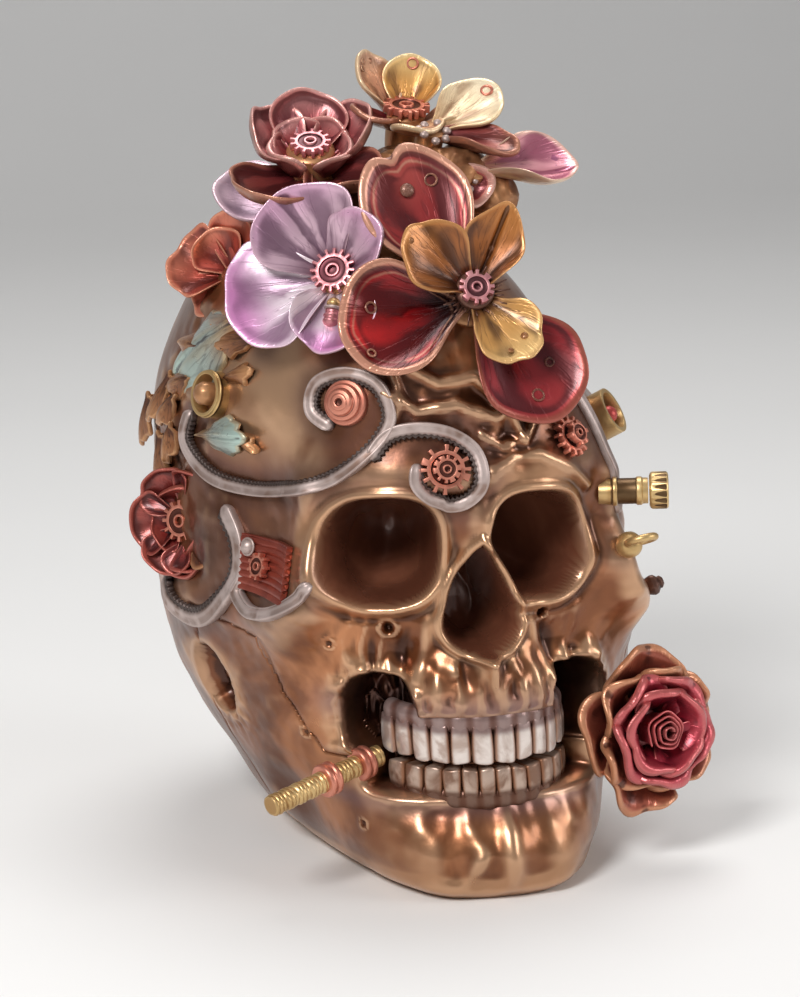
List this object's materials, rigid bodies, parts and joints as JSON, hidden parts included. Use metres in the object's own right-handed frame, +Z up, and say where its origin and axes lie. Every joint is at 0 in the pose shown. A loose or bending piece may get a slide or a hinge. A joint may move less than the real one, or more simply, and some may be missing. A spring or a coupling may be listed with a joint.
{
  "type": "halloween skull decoration",
  "caption": "Cast skull ornament dressed with blossoms, a rose between its teeth, leaves, scroll bands, gears and brass fittings.",
  "frame": {"origin": "on the ground below the skull, on its flat base", "axes": "+Z up through the crown, the face looks along -Y, +X is on the skull's own left"},
  "size_m": [0.1285, 0.1411, 0.1878],
  "materials": {
    "bone": "metallic gold and bronze paint over cast resin",
    "bone_mound": "dark bronze paint over cast resin",
    "tooth_silver": "pearly silver paint, brown between the teeth",
    "petal_dusky": "metallic brown-red paint with gold rims",
    "petal_amber": "metallic amber paint",
    "petal_cream": "cream gold paint",
    "petal_pink": "metallic pink paint",
    "petal_lilac": "pearly lilac paint",
    "petal_crimson": "glossy crimson paint",
    "petal_copper": "metallic copper red paint",
    "gear_copper": "copper pink metallic paint with dark wash",
    "band_silver": "dull silver lilac metallic paint with dark wash",
    "fitting_brass": "brass coloured metallic paint with brown wash",
    "leaf_teal": "silver teal metallic paint",
    "leaf_brown": "dark brown paint"
  },
  "bodies": {
    "root": {"cranium": "bone", "mandible": "bone", "upper_teeth": "tooth_silver", "lower_teeth": "tooth_silver", "blossom_mound": "bone_mound", "gold_blossom_gear": "gear_copper", "gold_blossom": "petal_amber", "crimson_blossom": "petal_crimson", "lilac_blossom_gear": "gear_copper", "lilac_blossom": "petal_lilac", "cream_blossom": "petal_cream", "pink_petal": "petal_pink", "dusky_blossom_gear": "gear_copper", "dusky_blossom": "petal_dusky", "amber_blossom_gear": "gear_copper", "amber_blossom": "petal_amber", "violet_blossom": "petal_lilac", "copper_blossom": "petal_copper", "side_blossom_gear": "gear_copper", "side_blossom": "petal_copper", "rose_middle_petals": "petal_crimson", "rose_outer_petals": "petal_copper", "curled_bud": "petal_pink", "rose_heart": "petal_crimson", "brow_scroll": "band_silver", "forehead_scroll": "band_silver", "cheek_scroll": "band_silver", "temple_ring": "band_silver", "temple_strip": "band_silver", "brow_gear": "gear_copper", "brow_pinion": "gear_copper", "temple_gear": "gear_copper", "temple_pinion": "gear_copper", "temple_panel": "gear_copper", "panel_gear": "gear_copper", "temple_rivet": "band_silver", "forehead_knob": "gear_copper", "teal_leaf": "leaf_teal", "forehead_leaf": "leaf_teal", "brow_leaf": "leaf_brown", "upper_side_leaf": "leaf_brown", "lower_side_leaf": "leaf_brown", "back_side_leaf": "leaf_brown", "ribbon_nub": "band_silver", "ribbon_ring": "fitting_brass", "nozzle_body": "fitting_brass", "nozzle_cap": "fitting_brass", "brass_ball": "fitting_brass", "ball_loop": "fitting_brass", "ring_clamp": "fitting_brass", "upper_bead": "petal_crimson", "lower_bead": "petal_crimson", "dark_pendant": "leaf_brown", "mouth_collar": "gear_copper", "stem_collar": "gear_copper", "threaded_stem": "fitting_brass", "lilac_blossom_bee": "band_silver"}
  },
  "joints": []
}
